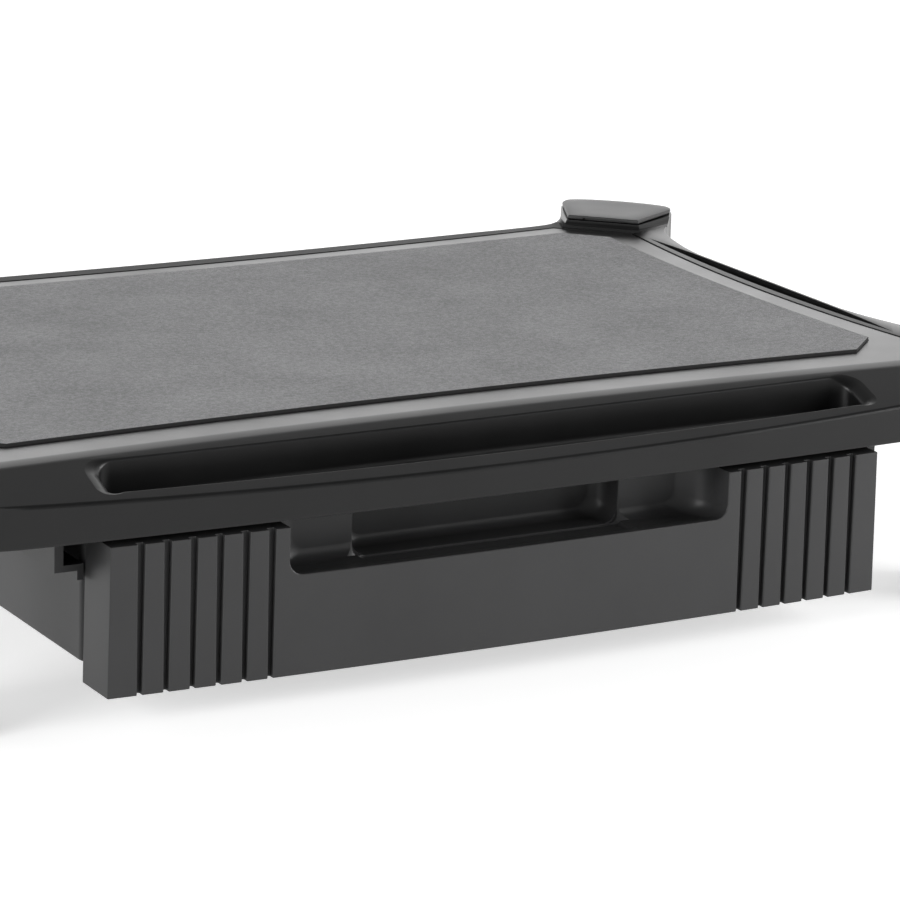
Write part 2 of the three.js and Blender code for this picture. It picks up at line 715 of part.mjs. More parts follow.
// ---- Screws --------------------------------------------------------------------------
// A pan-head screw pointing up, with its head's upper face at the origin.
function screwGeometry({ shank, head, headHeight, length }) {
  const profile = [
    point(0, -headHeight), point(head * 0.7, -headHeight), point(head, -headHeight * 0.45),
    point(head, 0), point(shank, 0), point(shank, length - shank), point(0, length),
  ];
  return new THREE.LatheGeometry(profile, 12).rotateX(Math.PI / 2);
}

// ---- Assembly ------------------------------------------------------------------------
const cornerSigns = [[-1, -1], [1, -1], [-1, 1], [1, 1]];
const sideName = (side) => (side < 0 ? 'left' : 'right');
const endName = (end) => (end < 0 ? 'front' : 'rear');
const numbered = (name, index) => `${name}_${index + 1}`;

const plastic = (color, roughness) => (
  () => new THREE.MeshStandardMaterial({ color, roughness, metalness: 0 })
);
const deckPlastic = plastic('#3a3b3d', 0.55);
const drawerPlastic = plastic('#424345', 0.6);
const railPlastic = plastic('#2c2d2f', 0.6);
const legPlastic = plastic('#2f3032', 0.6);
const padRubber = plastic('#4a4b4d', 0.9);
const footRubber = plastic('#1b1b1c', 0.9);
const screwSteel = () => (
  new THREE.MeshStandardMaterial({ color: '#9a9c9e', roughness: 0.35, metalness: 0.9 })
);

function geometryOf(body) {
  const { numProp, vertProperties, triVerts } = body.getMesh();
  const geometry = new THREE.BufferGeometry();
  geometry.setAttribute('position', new THREE.BufferAttribute(vertProperties, numProp));
  geometry.setIndex(new THREE.BufferAttribute(triVerts, 1));
  geometry.computeVertexNormals();
  return geometry;
}

function named(name, shape, material) {
  const geometry = shape instanceof THREE.BufferGeometry ? shape : geometryOf(shape);
  const mesh = new THREE.Mesh(geometry, material());
  mesh.name = name;
  return mesh;
}

function platformGroup() {
  const platform = new THREE.Group();
  platform.add(named('deck_shell', buildDeck(), deckPlastic));
  platform.add(named('grip_pad', buildGripPad(), padRubber));
  for (const side of [-1, 1]) {
    const cap = named(`tower_cap_${sideName(side)}`, buildCap(side), deckPlastic);
    cap.position.set(side * columnX, columnY, 0);
    platform.add(cap);
    platform.add(named(`drawer_rail_${sideName(side)}`, buildRail(side), railPlastic));
  }
  railScrewPlaces().forEach((place, i) => {
    const screw = named(numbered('rail_screw', i), screwGeometry(deckScrew), screwSteel);
    screw.position.set(place.x, place.y, screwSeatZ);
    platform.add(screw);
  });
  return platform;
}

function drawerGroup() {
  const drawer = new THREE.Group();
  drawer.add(named('drawer_front', buildDrawerFront(), drawerPlastic));
  drawer.add(named('drawer_tub', buildDrawerTub(), drawerPlastic));
  panelScrewX.forEach((x, i) => {
    const screw = named(numbered('front_screw', i), screwGeometry(panelScrew), screwSteel);
    screw.position.set(x, tubFrontY + tubWall + gap, panelScrewZ);
    screw.rotation.x = Math.PI / 2;
    drawer.add(screw);
  });
  return drawer;
}

function legsGroup() {
  const legs = new THREE.Group();
  for (const [side, end] of cornerSigns) {
    const corner = new THREE.Group();
    const place = `${endName(end)}_${sideName(side)}`;
    corner.add(named(`leg_sleeve_${place}`, buildSleeve(side, end), legPlastic));
    corner.add(named(`leg_${place}`, buildLeg(side, end), legPlastic));
    corner.add(named(`foot_pad_${place}`, buildFootPad(side, end), footRubber));
    corner.position.set(side * columnX, end * columnY, 0);
    legs.add(corner);
  }
  sleeveScrewPlaces().forEach((place, i) => {
    const screw = named(numbered('sleeve_screw', i), screwGeometry(deckScrew), screwSteel);
    screw.position.set(place.x, place.y, screwSeatZ);
    legs.add(screw);
  });
  return legs;
}

const stand = new THREE.Group();
stand.add(platformGroup(), drawerGroup(), legsGroup());

// The origin is the bottom centre of the whole stand.
const bounds = new THREE.Box3().setFromObject(stand);
const centre = bounds.getCenter(new THREE.Vector3());
stand.position.set(-centre.x, -centre.y, -bounds.min.z);

export default stand;
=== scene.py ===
"""Looks of a moulded monitor riser: a deck with a grip pad and a pen tray, a ribbed drawer and corner legs.

Shapes are worked out in millimetres and scaled to metres as each piece is finished.
"""
from math import cos, pi, radians, sin, sqrt, tan

import bmesh
import bpy
from mathutils import Matrix, Vector


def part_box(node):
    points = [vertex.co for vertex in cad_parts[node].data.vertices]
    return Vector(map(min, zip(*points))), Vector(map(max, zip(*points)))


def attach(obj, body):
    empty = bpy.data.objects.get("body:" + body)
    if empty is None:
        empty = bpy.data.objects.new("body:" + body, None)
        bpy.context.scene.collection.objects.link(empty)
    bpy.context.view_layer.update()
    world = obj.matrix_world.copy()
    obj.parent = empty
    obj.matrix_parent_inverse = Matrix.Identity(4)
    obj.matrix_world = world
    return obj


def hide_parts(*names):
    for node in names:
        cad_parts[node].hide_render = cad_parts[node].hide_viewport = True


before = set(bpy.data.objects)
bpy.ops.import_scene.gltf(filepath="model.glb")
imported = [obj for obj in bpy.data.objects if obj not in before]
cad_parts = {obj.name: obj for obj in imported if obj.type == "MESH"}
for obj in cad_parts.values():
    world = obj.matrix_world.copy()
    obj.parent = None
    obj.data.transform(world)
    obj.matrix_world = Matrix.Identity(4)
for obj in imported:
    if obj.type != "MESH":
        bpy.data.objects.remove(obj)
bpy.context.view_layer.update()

MM = 0.001


def span(node):
    """A CAD node's lowest and highest corners, in millimetres."""
    low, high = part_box(node)
    return low / MM, high / MM


# ---- Camera ---------------------------------------------------------------------------
CAMERA_PLACE = (-0.76965, -1.46727, 0.49614)
CAMERA_AZIMUTH = radians(-29.544)
CAMERA_ELEVATION = radians(15.146)
CAMERA_ROLL = radians(1.684)
CAMERA_LENS = 172.456
CAMERA_SENSOR = 36


def build_camera():
    data = bpy.data.cameras.new("camera")
    data.lens = CAMERA_LENS
    data.sensor_width = CAMERA_SENSOR
    data.clip_end = 50
    camera = bpy.data.objects.new("camera", data)
    bpy.context.scene.collection.objects.link(camera)
    level = cos(CAMERA_ELEVATION)
    back = Vector((
        sin(CAMERA_AZIMUTH) * level, -cos(CAMERA_AZIMUTH) * level, sin(CAMERA_ELEVATION)))
    right = Vector((0, 0, 1)).cross(back).normalized()
    rotation = Matrix((right, back.cross(right), back)).transposed()
    rotation = rotation @ Matrix.Rotation(CAMERA_ROLL, 3, "Z")
    camera.matrix_world = Matrix.Translation(CAMERA_PLACE) @ rotation.to_4x4()
    bpy.context.scene.camera = camera


build_camera()

# ---- Sizes ----------------------------------------------------------------------------
deck_low = span("deck_shell")[0]
panel_low, panel_high = span("drawer_front")
tub_low, tub_high = span("drawer_tub")
pad_low, pad_high = span("grip_pad")
cap_low, cap_high = span("tower_cap_right")
foot_front_low = span("foot_pad_front_right")[0]
foot_rear_high = span("foot_pad_rear_right")[1]

# The deck is drawn about the line midway between the front and the rear legs.
mid_y = (foot_front_low.y + foot_rear_high.y) / 2

SKIRT_DEPTH = 24.6
RIM_HEIGHT = 1.5
TOWER_HEIGHT = 3.6
PLATE = 3.6
WALL = 3
skirt_z = deck_low.z
border_z = skirt_z + SKIRT_DEPTH
rim_z = border_z + RIM_HEIGHT
tower_z = border_z + TOWER_HEIGHT
lip_y = deck_low.y - mid_y

# Leg column section, in its own axes: u runs outwards, v across
COLUMN_ANGLE = radians(47)
COLUMN_X = 204.1
COLUMN_Y = 116.7
COLUMN_INNER_HALF = 16.4
COLUMN_OUTER_HALF = 25
COLUMN_DEPTH = 39.4
COLUMN_CROWN = 11.4
CROWN_POINTS = ((6.8, 0.4), (3.4, 3.6), (1, 12.5))
CROWN_FADE = 12

# Flares towards a column: how far out, or in, and how far short of it or behind it
SIDE_FLARE = ((0, 62.7), (2.3, 46), (9.2, 20.7))
REAR_FLARE = ((18.1, 24), (27.7, 16.7), (51.1, 14.4))

DECK_HALF = 215.2
LIP_BOW = 5
LIP_CHORD = 200
LIP_END = LIP_CHORD - 4
SLOPE_ANGLE = radians(20.5)
SLOPE_TOP_REACH = 32.8
SLOPE_TOP_WAIST = 5.9
SLOPE_CHORD = 193
REAR_Y = 126.5
REAR_WAIST = 3.84
REAR_HALF = 144.1

RIM_CORNER = (DECK_HALF - 2.7, COLUMN_Y - 11.2)
RIM_BOW = (-7.5, -7.3)
PAD_TIP = (197.6, 99.5)
PAD_CORNER = (181.5, 115)
PAD_BOW = (-4.4, -5.1)
TROUGH_INSET = 1.6
TROUGH_HALF = 93
TROUGH_BOW = 5.3


# ---- Outlines -------------------------------------------------------------------------
def arc(radius, start, end, steps):
    """Points on an arc about the origin, between two angles in degrees, both ends included."""
    angles = [radians(start + (end - start) * i / steps) for i in range(steps + 1)]
    return [Vector((radius * cos(a), radius * sin(a))) for a in angles]


def spline(points, steps):
    """A smooth run through a few points."""
    ends = [points[0], *points, points[-1]]
    run = []
    for i in range(1, len(ends) - 2):
        a, b, c, d = ends[i - 1:i + 3]
        for k in range(steps):
            t = k / steps
            run.append(0.5 * (
                2 * b + (c - a) * t + (2 * a - 5 * b + 4 * c - d) * t ** 2
                + (3 * b - a - 3 * c + d) * t ** 3))
    return [*run, points[-1]]


def between(start, end, steps):
    """Points that part a line into equal steps, without its ends."""
    return [start.lerp(end, i / steps) for i in range(1, steps)]


def bow(start, end, sagitta, steps):
    """A shallow curve between two points, standing out to the right of the way it is drawn."""
    run = end - start
    right = Vector((run.y, -run.x)).normalized()
    stations = [i / steps for i in range(steps + 1)]
    return [start + run * t + right * (4 * sagitta * t * (1 - t)) for t in stations]


def grown(outline, distance):
    """A counter-clockwise outline moved outwards, or inwards where the distance is negative."""
    distances = distance if isinstance(distance, list) else [distance] * len(outline)
    moved = []
    for i, point in enumerate(outline):
        before = (point - outline[i - 1]).normalized()
        after = (outline[(i + 1) % len(outline)] - point).normalized()
        normal = Vector((before.y + after.y, -before.x - after.x)).normalized()
        share = max(0.5, normal.dot(Vector((before.y, -before.x))))
        moved.append(point + normal * (distances[i] / share))
    return moved


def drawn_in(outline, distance):
    """An outline drawn in, without the points whose edges would turn back on themselves."""
    moved = grown(outline, -distance)
    while True:
        kept = [i for i, point in enumerate(outline)
                if (moved[i] - moved[i - 1]).dot(point - outline[i - 1]) > 0]
        if len(kept) == len(outline):
            return moved
        outline = [outline[i] for i in kept]
        moved = [moved[i] for i in kept]


def rounded_rectangle(x0, x1, y0, y1, radii, steps=6):
    """Counter-clockwise from the front left corner, with one radius for each corner."""
    corners = ((x0, y0, 180, 1, 1), (x1, y0, 270, -1, 1), (x1, y1, 0, -1, -1), (x0, y1, 90, 1, -1))
    outline = []
    for (x, y, start, toward_x, toward_y), radius in zip(corners, radii):
        centre = Vector((x + toward_x * radius, y + toward_y * radius))
        outline += [centre + p for p in arc(radius, start, start + 90, steps)]
    return outline


def mirrored(outline):
    return [Vector((-p.x, p.y)) for p in reversed(outline)]


def at(outline, z):
    """A plan outline at a height, or over a surface given as a function of the plan."""
    level = z if callable(z) else lambda p: z
    return [Vector((p.x, p.y, level(p))) for p in outline]


def column_point(u, v, side, end):
    c, s = cos(COLUMN_ANGLE), sin(COLUMN_ANGLE)
    return Vector((side * (COLUMN_X + u * c - v * s), end * (COLUMN_Y + u * s + v * c)))


def column_outline(side, end, shrink):
    """The column's section, drawn in by a distance all round, counter-clockwise."""
    fade = max(0.3, 1 - shrink / CROWN_FADE)
    far = COLUMN_DEPTH - shrink
    wide = COLUMN_OUTER_HALF - shrink
    half = [Vector((shrink, COLUMN_INNER_HALF - shrink)), Vector((far - COLUMN_CROWN * fade, wide))]
    half += [Vector((far - back * fade, wide - inwards * fade)) for back, inwards in CROWN_POINTS]
    lower = [Vector((p.x, -p.y)) for p in half]
    crown = spline([*lower[1:], Vector((far, 0)), *reversed(half[1:])], 3)
    run = [column_point(p.x, p.y, side, end) for p in (lower[0], *crown, half[0])]
    return run if side * end > 0 else list(reversed(run))


def slope_top_y(x):
    return lip_y + SLOPE_TOP_REACH - SLOPE_TOP_WAIST * (x / SLOPE_CHORD) ** 2


def lip_line_y(x):
    return lip_y + LIP_BOW * (x / LIP_CHORD) ** 2


def deck_half_outline():
    """Right half of the deck's outside, from the middle of the lip round to the middle of the back."""
    def side_flare(end):
        points = [Vector((DECK_HALF + out, end * (COLUMN_Y - short))) for out, short in SIDE_FLARE]
        points.append(column_point(14, -26.5, 1, end))
        points.append(column_point(COLUMN_DEPTH - COLUMN_CROWN, -COLUMN_OUTER_HALF, 1, end))
        return spline(points, 6)

    def crown(end):
        run = column_outline(1, end, 0)
        run = run if end > 0 else list(reversed(run))
        return run[2:-2]

    lip = [Vector((x, lip_line_y(x))) for x in [LIP_END * i / 16 for i in range(17)]]
    front_corner = spline([lip[-1], *list(reversed(crown(-1)))[5:]], 2)
    rear_flare = spline([
        column_point(COLUMN_DEPTH - COLUMN_CROWN, COLUMN_OUTER_HALF, 1, 1),
        *[Vector((DECK_HALF - inwards, COLUMN_Y + behind)) for inwards, behind in REAR_FLARE]], 6)
    rear = [Vector((REAR_HALF * t, REAR_Y + REAR_WAIST * t * t))
            for t in [1 - i / 12 for i in range(13)]]
    return [*lip[:-1], *front_corner, *reversed(side_flare(-1)), *side_flare(1),
            *crown(1), *rear_flare, *rear]


def deck_outline():
    right = deck_half_outline()
    return [*right, *mirrored(right)[1:-1]]


def rim_outline():
    """The foot of the rim's step. In front it runs out over the slope."""
    corner = Vector(RIM_CORNER)
    rear = Vector((corner.x - 26.1, corner.y + 23.2))
    ahead = Vector((corner.x + 30, -corner.y - 6))
    right = [Vector((corner.x + 10, lip_y - 40)), ahead,
             *bow(Vector((corner.x, -corner.y)), corner, RIM_BOW[0], 24),
             *bow(rear, Vector((-rear.x, rear.y)), RIM_BOW[1], 32)]
    return [*right, *mirrored(right[:27])]


def pad_outline():
    tip = Vector(PAD_TIP)
    corner = Vector(PAD_CORNER)
    side_bow, long_bow = PAD_BOW
    return [
        *bow(Vector((tip.x, -tip.y)), tip, side_bow, 16),
        *bow(corner, Vector((-corner.x, corner.y)), long_bow, 24),
        *bow(Vector((-tip.x, tip.y)), Vector((-tip.x, -tip.y)), side_bow, 16),
        *bow(Vector((-corner.x, -corner.y)), Vector((corner.x, -corner.y)), long_bow, 24)]


def trough_outline(side):
    """A long spindle between the rim and the deck's outer wall."""
    outer = DECK_HALF - TROUGH_INSET
    ends = Vector((outer, TROUGH_HALF)), Vector((outer, -TROUGH_HALF))
    run = [*bow(*ends, TROUGH_BOW, 28), Vector((outer + 0.05, 0))]
    return run if side > 0 else mirrored(run)


# ---- Solids ---------------------------------------------------------------------------
MERGE = 0.002
SHARP_ANGLE = radians(32)
EDGE_ANGLE = radians(30)
ROD_SIDES = 20


def stack(levels, ring=False):
    """A solid through a run of matching contours, with ends, or joined last to first."""
    bm = bmesh.new()
    contour = [bm.verts.new(p) for p in levels[0]]
    first = [bm.edges.new((v, contour[(i + 1) % len(contour)])) for i, v in enumerate(contour)]
    edges = first
    start = contour
    for level in levels[1:]:
        made = bmesh.ops.extrude_edge_only(bm, edges=edges)["geom"]
        fresh = {g for g in made if isinstance(g, bmesh.types.BMVert)}
        edges = [g for g in made if isinstance(g, bmesh.types.BMEdge) and set(g.verts) <= fresh]
        contour = [next(e.other_vert(v) for e in v.link_edges if e.other_vert(v) in fresh)
                   for v in contour]
        for vert, place in zip(contour, level):
            vert.co = place
    if ring:
        bmesh.ops.bridge_loops(bm, edges=first + edges)
    else:
        bm.faces.new(start)
        bm.faces.new(contour)
    bmesh.ops.recalc_face_normals(bm, faces=bm.faces)
    return bm


def block(x0, x1, y0, y1, z0, z1):
    bm = bmesh.new()
    size = Matrix.Diagonal((x1 - x0, y1 - y0, z1 - z0, 1))
    place = Matrix.Translation(((x0 + x1) / 2, (y0 + y1) / 2, (z0 + z1) / 2))
    bmesh.ops.create_cube(bm, size=1, matrix=place @ size)
    return bm


def rod(x, y, z0, z1, radius):
    bm = bmesh.new()
    place = Matrix.Translation((x, y, (z0 + z1) / 2))
    bmesh.ops.create_cone(bm, cap_ends=True, segments=ROD_SIDES, radius1=radius, radius2=radius,
                          depth=z1 - z0, matrix=place)
    return bm


def scratch_object(bm):
    mesh = bpy.data.meshes.new("scratch")
    bm.to_mesh(mesh)
    bm.free()
    thing = bpy.data.objects.new("scratch", mesh)
    bpy.context.scene.collection.objects.link(thing)
    return thing


def combined(base, other, operation):
    """Joins two solids, cuts one out of the other or keeps what they share."""
    things = [scratch_object(base), scratch_object(other)]
    boolean = things[0].modifiers.new("boolean", "BOOLEAN")
    boolean.object = things[1]
    boolean.operation = operation
    boolean.solver = "EXACT"
    result = bmesh.new()
    result.from_object(things[0], bpy.context.evaluated_depsgraph_get())
    bmesh.ops.remove_doubles(result, verts=result.verts, dist=MERGE)
    bmesh.ops.dissolve_degenerate(result, edges=result.edges, dist=MERGE)
    for thing in things:
        mesh = thing.data
        bpy.data.objects.remove(thing)
        bpy.data.meshes.remove(mesh)
    return result


def cut(base, *others):
    for other in others:
        base = combined(base, other, "DIFFERENCE")
    return base


def joined(base, *others):
    for other in others:
        base = combined(base, other, "UNION")
    return base


def finish(bm, name, body, nodes, material, shift=(0, 0, 0)):
    """Turns a solid in millimetres into a piece in metres that stands for its CAD nodes."""
    bmesh.ops.remove_doubles(bm, verts=bm.verts, dist=MERGE / 4)
    bmesh.ops.dissolve_degenerate(bm, dist=MERGE / 4, edges=bm.edges)
    bmesh.ops.translate(bm, verts=bm.verts, vec=shift)
    bmesh.ops.scale(bm, verts=bm.verts, vec=(MM, MM, MM))
    for face in bm.faces:
        face.smooth = True
    for edge in bm.edges:
        edge.smooth = len(edge.link_faces) == 2 and edge.calc_face_angle(0) < SHARP_ANGLE
    mesh = bpy.data.meshes.new(name)
    bm.to_mesh(mesh)
    bm.free()
    mesh.materials.append(material)
    piece = bpy.data.objects.new(name, mesh)
    bpy.context.scene.collection.objects.link(piece)
    weights = piece.modifiers.new("normals", "WEIGHTED_NORMAL")
    weights.keep_sharp = True
    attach(piece, body)
    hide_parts(*nodes)
    return piece


def softened(node, width, segments=2):
    """A copy of a CAD node, merged, with its sharp edges rounded off. Millimetres."""
    bm = bmesh.new()
    bm.from_mesh(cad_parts[node].data)
    bmesh.ops.scale(bm, verts=bm.verts, vec=(1 / MM, 1 / MM, 1 / MM))
    bmesh.ops.remove_doubles(bm, verts=bm.verts, dist=0.01)
    bmesh.ops.dissolve_limit(
        bm, angle_limit=radians(1), verts=bm.verts, edges=bm.edges, delimit=set())
    edges = [e for e in bm.edges if len(e.link_faces) == 2 and e.calc_face_angle(0) > EDGE_ANGLE]
    bmesh.ops.bevel(bm, geom=edges, affect="EDGES", offset=width, offset_type="OFFSET",
                    segments=segments, profile=0.5, material=-1, clamp_overlap=True)
    return bm


# ---- Materials ------------------------------------------------------------------------
class Value:
    """A number that varies over a surface. Arithmetic on it adds Math nodes."""

    def __init__(self, shader, socket):
        self.shader = shader
        self.socket = socket

    def _math(self, operation, first, second):
        return self.shader.node("ShaderNodeMath", {"operation": operation}, {0: first, 1: second})

    def __add__(self, other):
        return self._math("ADD", self, other)

    def __mul__(self, other):
        return self._math("MULTIPLY", self, other)

    __radd__ = __add__
    __rmul__ = __mul__


class Shader:
    """A material and its nodes."""

    def __init__(self, name, **constants):
        self.material = bpy.data.materials.new(name)
        self.material.use_nodes = True
        self.tree = self.material.node_tree
        self.surface = self.tree.nodes["Principled BSDF"]
        self.place = self.node("ShaderNodeTexCoord", {}, {}, "Object")
        for socket, value in constants.items():
            self.surface.inputs[socket.replace("_", " ")].default_value = value

    def node(self, kind, settings, inputs, output=0):
        made = self.tree.nodes.new(kind)
        for name, value in settings.items():
            setattr(made, name, value)
        for key, value in inputs.items():
            if isinstance(value, Value):
                self.tree.links.new(value.socket, made.inputs[key])
            else:
                made.inputs[key].default_value = value
        return Value(self, made.outputs[output])

    def noise(self, scale, detail=2.0, roughness=0.5):
        return self.node("ShaderNodeTexNoise", {}, {
            "Vector": self.place, "Scale": scale, "Detail": detail, "Roughness": roughness})

    def mix(self, factor, low, high):
        return self.node("ShaderNodeMix", {"data_type": "RGBA"}, {0: factor, 6: low, 7: high}, 2)

    def limit(self, value, low, high):
        return self.node("ShaderNodeMapRange", {"clamp": True}, {
            "Value": value, "From Min": low, "From Max": high})

    def drive(self, socket, value):
        self.tree.links.new(value.socket, self.surface.inputs[socket])

    def bump(self, height, strength, distance):
        normal = self.node("ShaderNodeBump", {}, {
            "Strength": strength, "Distance": distance, "Height": height})
        self.drive("Normal", normal)


def grey(level):
    """A neutral with a trace of blue."""
    return (level, level, level * 1.02, 1)


GRAIN_HEIGHT = 0.00003
GLOSS_SPREAD = 0.08


def moulded_plastic(name, dark, light, roughness, index=1.45):
    """Spark-textured plastic: a fine even grain, slight clouding of colour and gloss."""
    shader = Shader(name, IOR=index)
    cloud = shader.noise(14, 4, 0.6)
    grain_noise = shader.noise(1500, 2, 0.6)
    shader.drive("Base Color", shader.mix(
        shader.limit(cloud * 0.8 + grain_noise * 0.2, 0.3, 0.7), grey(dark), grey(light)))
    shader.drive("Roughness", shader.limit(cloud, 0.3, 0.7) * GLOSS_SPREAD + roughness)
    shader.bump(grain_noise, 0.35, GRAIN_HEIGHT)
    return shader.material


def grip_rubber(name):
    """Stippled rubber: pale and dark grains about half a millimetre across over a matt sheet."""
    shader = Shader(name, IOR=1.45)
    cloud = shader.noise(20, 4, 0.6)
    fine = shader.noise(1700, 3, 0.7)
    coarse = shader.noise(620, 2, 0.6)
    speckle = shader.limit(fine * 0.6 + coarse * 0.4, 0.38, 0.62)
    tone = speckle * 0.75 + shader.limit(cloud, 0.3, 0.7) * 0.25
    shader.drive("Base Color", shader.mix(tone, grey(0.11), grey(0.34)))
    shader.drive("Roughness", speckle * 0.15 + 0.72)
    shader.bump(speckle, 0.6, 0.00025)
    return shader.material


def foot_rubber(name):
    shader = Shader(name, IOR=1.45)
    fine = shader.noise(900, 3, 0.6)
    shader.drive("Base Color", shader.mix(fine, grey(0.008), grey(0.02)))
    shader.drive("Roughness", fine * 0.15 + 0.75)
    shader.bump(fine, 0.4, 0.0001)
    return shader.material


def zinc_plate(name):
    shader = Shader(name, Metallic=1.0)
    cloud = shader.noise(400, 3, 0.6)
    shader.drive("Base Color", shader.mix(cloud, (0.42, 0.43, 0.44, 1), (0.66, 0.67, 0.66, 1)))
    shader.drive("Roughness", cloud * 0.25 + 0.22)
    shader.bump(cloud, 0.2, 0.00003)
    return shader.material


deck_plastic = moulded_plastic("deck_plastic", 0.004, 0.007, 0.3, 1.36)
cap_plastic = moulded_plastic("cap_plastic", 0.02, 0.028, 0.42, 1.4)
drawer_plastic = moulded_plastic("drawer_plastic", 0.024, 0.033, 0.4, 1.4)
rail_plastic = moulded_plastic("rail_plastic", 0.014, 0.02, 0.4)
leg_plastic = moulded_plastic("leg_plastic", 0.014, 0.02, 0.4)
pad_rubber = grip_rubber("pad_rubber")
# Painted shade: the pad's sides get a near-black rubber so they look as dark as sides facing away from the
# light, much darker than the pad's top.
pad_side_painted_shade = foot_rubber("pad_side_painted_shade")
sole_rubber = foot_rubber("foot_rubber")
screw_steel = zinc_plate("screw_steel")


# ---- Deck -----------------------------------------------------------------------------
CREASE_RADIUS = 1.9
CREASE_LEAN = radians(8)
BAND_WIDTH = 5
BAND_ANGLE = radians(7)
BAND_DROP = BAND_WIDTH * sin(BAND_ANGLE)
RIM_RAMP = 7


def slope_z(point):
    return border_z - max(0, slope_top_y(point.x) - point.y) * tan(SLOPE_ANGLE)


def slope_section(x):
    """Section of what is cut away above the front slope: round crease, slope, band and border."""
    top_y = slope_top_y(x)
    front_y = lip_line_y(x)
    steep = tan(SLOPE_ANGLE)
    band_z = border_z - BAND_DROP
    crease_z = band_z - (top_y - front_y) * steep
    tangent = CREASE_RADIUS * tan((pi / 2 - SLOPE_ANGLE) / 2)
    centre = Vector((front_y + CREASE_RADIUS, crease_z - tangent))
    crease = [centre + p for p in arc(CREASE_RADIUS, 172, 112, 7)]
    run_in = crease[0] - Vector((sin(CREASE_LEAN), cos(CREASE_LEAN))) * 7
    turn = [Vector((top_y - 1.2, band_z - 1.2 * steep)), Vector((top_y - 0.4, band_z - 0.25)),
            Vector((top_y + 0.5, band_z + 0.5 * tan(BAND_ANGLE)))]
    band_end_y = top_y + BAND_WIDTH
    ease = [Vector((band_end_y - 0.8, border_z - 0.09)), Vector((band_end_y + 0.6, border_z - 0.012)),
            Vector((band_end_y + 30, border_z + 2.2))]
    section = [run_in, *crease, *turn, *ease, Vector((band_end_y + 30, border_z + 30)),
               Vector((front_y - 20, border_z + 30)), Vector((front_y - 20, run_in.y))]
    return [Vector((x, p.x, p.y)) for p in section]


def slope_cutter():
    reach = DECK_HALF + 40
    return stack([slope_section(reach * (i / 20 - 1)) for i in range(41)])


TRAY_HALF = 164.3
TRAY_FRONT = 7.5
TRAY_WIDTH = 19.7
TRAY_FLOOR_DROP = 17.6
TRAY_BOW = 1.5
TRAY_FRONT_BOW = 1.0
TRAY_FLARE = 5.6
TRAY_FILLET = 3.5
TRAY_LIP = 0.7
TRAY_WALL = 2.6
CORNER_STEPS = 10


def tray_outline():
    """The tray's upright walls. Its ends flare out at the top to the tray's full length."""
    y0 = lip_y + TRAY_FRONT
    half = TRAY_HALF - TRAY_FLARE
    outline = rounded_rectangle(-half, half, y0, y0 + TRAY_WIDTH, (4, 4, 7, 7), CORNER_STEPS)
    corner = CORNER_STEPS + 1
    front_left, right, rear_left = outline[:corner], outline[corner:3 * corner], outline[3 * corner:]
    runs = [*front_left, *between(front_left[-1], right[0], 16), *right,
            *between(right[-1], rear_left[0], 16), *rear_left]
    swept = []
    for p in runs:
        back = (p.y - y0) / TRAY_WIDTH
        outwards = (p.x / TRAY_HALF) ** 2
        sweep = TRAY_FRONT_BOW * outwards * (1 - back)
        swept.append(Vector((p.x, p.y + back * -TRAY_BOW * outwards + sweep)))
    return swept


def tray_cutter():
    outline = tray_outline()
    normals = [b - a for a, b in zip(outline, grown(outline, 1))]
    shares = [abs(n.x) ** 1.5 for n in normals]
    floor_z = border_z - TRAY_FLOOR_DROP

    def surface(p):
        return slope_z(p) - BAND_DROP

    levels = [at(grown(outline, p.x - TRAY_FILLET), floor_z + TRAY_FILLET + p.y)
              for p in arc(TRAY_FILLET, -90, 0, 5)]
    for angle in (90, 68, 45, 25, 8):
        out = 1 - sin(radians(angle))
        drop = 1 - cos(radians(angle))
        mouth = grown(outline, [out * (TRAY_LIP + TRAY_FLARE * share) for share in shares])
        levels.append([Vector((p.x, p.y, surface(p) - drop * (TRAY_LIP + 3.2 * share)))
                       for p, share in zip(mouth, shares)])
    wide = grown(outline, [1.2 + 5 + TRAY_FLARE * share for share in shares])
    levels.append(at(wide, lambda p: surface(p) + 1.2))
    levels.append(at(wide, rim_z + 20))
    return stack(levels)


def flipped(bm):
    """The same solid on the other side."""
    bmesh.ops.scale(bm, verts=bm.verts, vec=(-1, 1, 1))
    bmesh.ops.reverse_faces(bm, faces=bm.faces)
    return bm


TOWER_FLARE = 7


def tower(outline):
    """The deck's own outside carried up to the cap, with a hollow flare on its inner sides."""
    column = column_outline(1, 1, 0.2)
    rise = tower_z - rim_z
    widest = sqrt(TOWER_FLARE ** 2 - (TOWER_FLARE - rise) ** 2)
    foot = Vector((COLUMN_X, COLUMN_Y))
    outwards = Vector((cos(COLUMN_ANGLE), sin(COLUMN_ANGLE)))
    shares = []
    for p in column:
        u = (p - foot).dot(outwards)
        shares.append(0.35 if u < 1 else 1.0 + 2.5 * max(0, (u - 24) / 15))
    levels = []
    for height in (-6, 0, 0.15 * rise, 0.4 * rise, 0.7 * rise, rise, rise + 3):
        inside = min(max(height, 0), rise)
        spread = widest - sqrt(TOWER_FLARE ** 2 - (TOWER_FLARE - inside) ** 2)
        growth = [spread * share + (1.5 if share > 1 else 0.02) for share in shares]
        levels.append(at(grown(column, growth), rim_z + height))
    prism = stack([at(grown(outline, -0.04), rim_z - 5), at(grown(outline, -0.04), tower_z - 0.4),
                   at(grown(outline, -0.35), tower_z)])
    return combined(prism, stack(levels), "INTERSECT")


TROUGH_WALL = 2


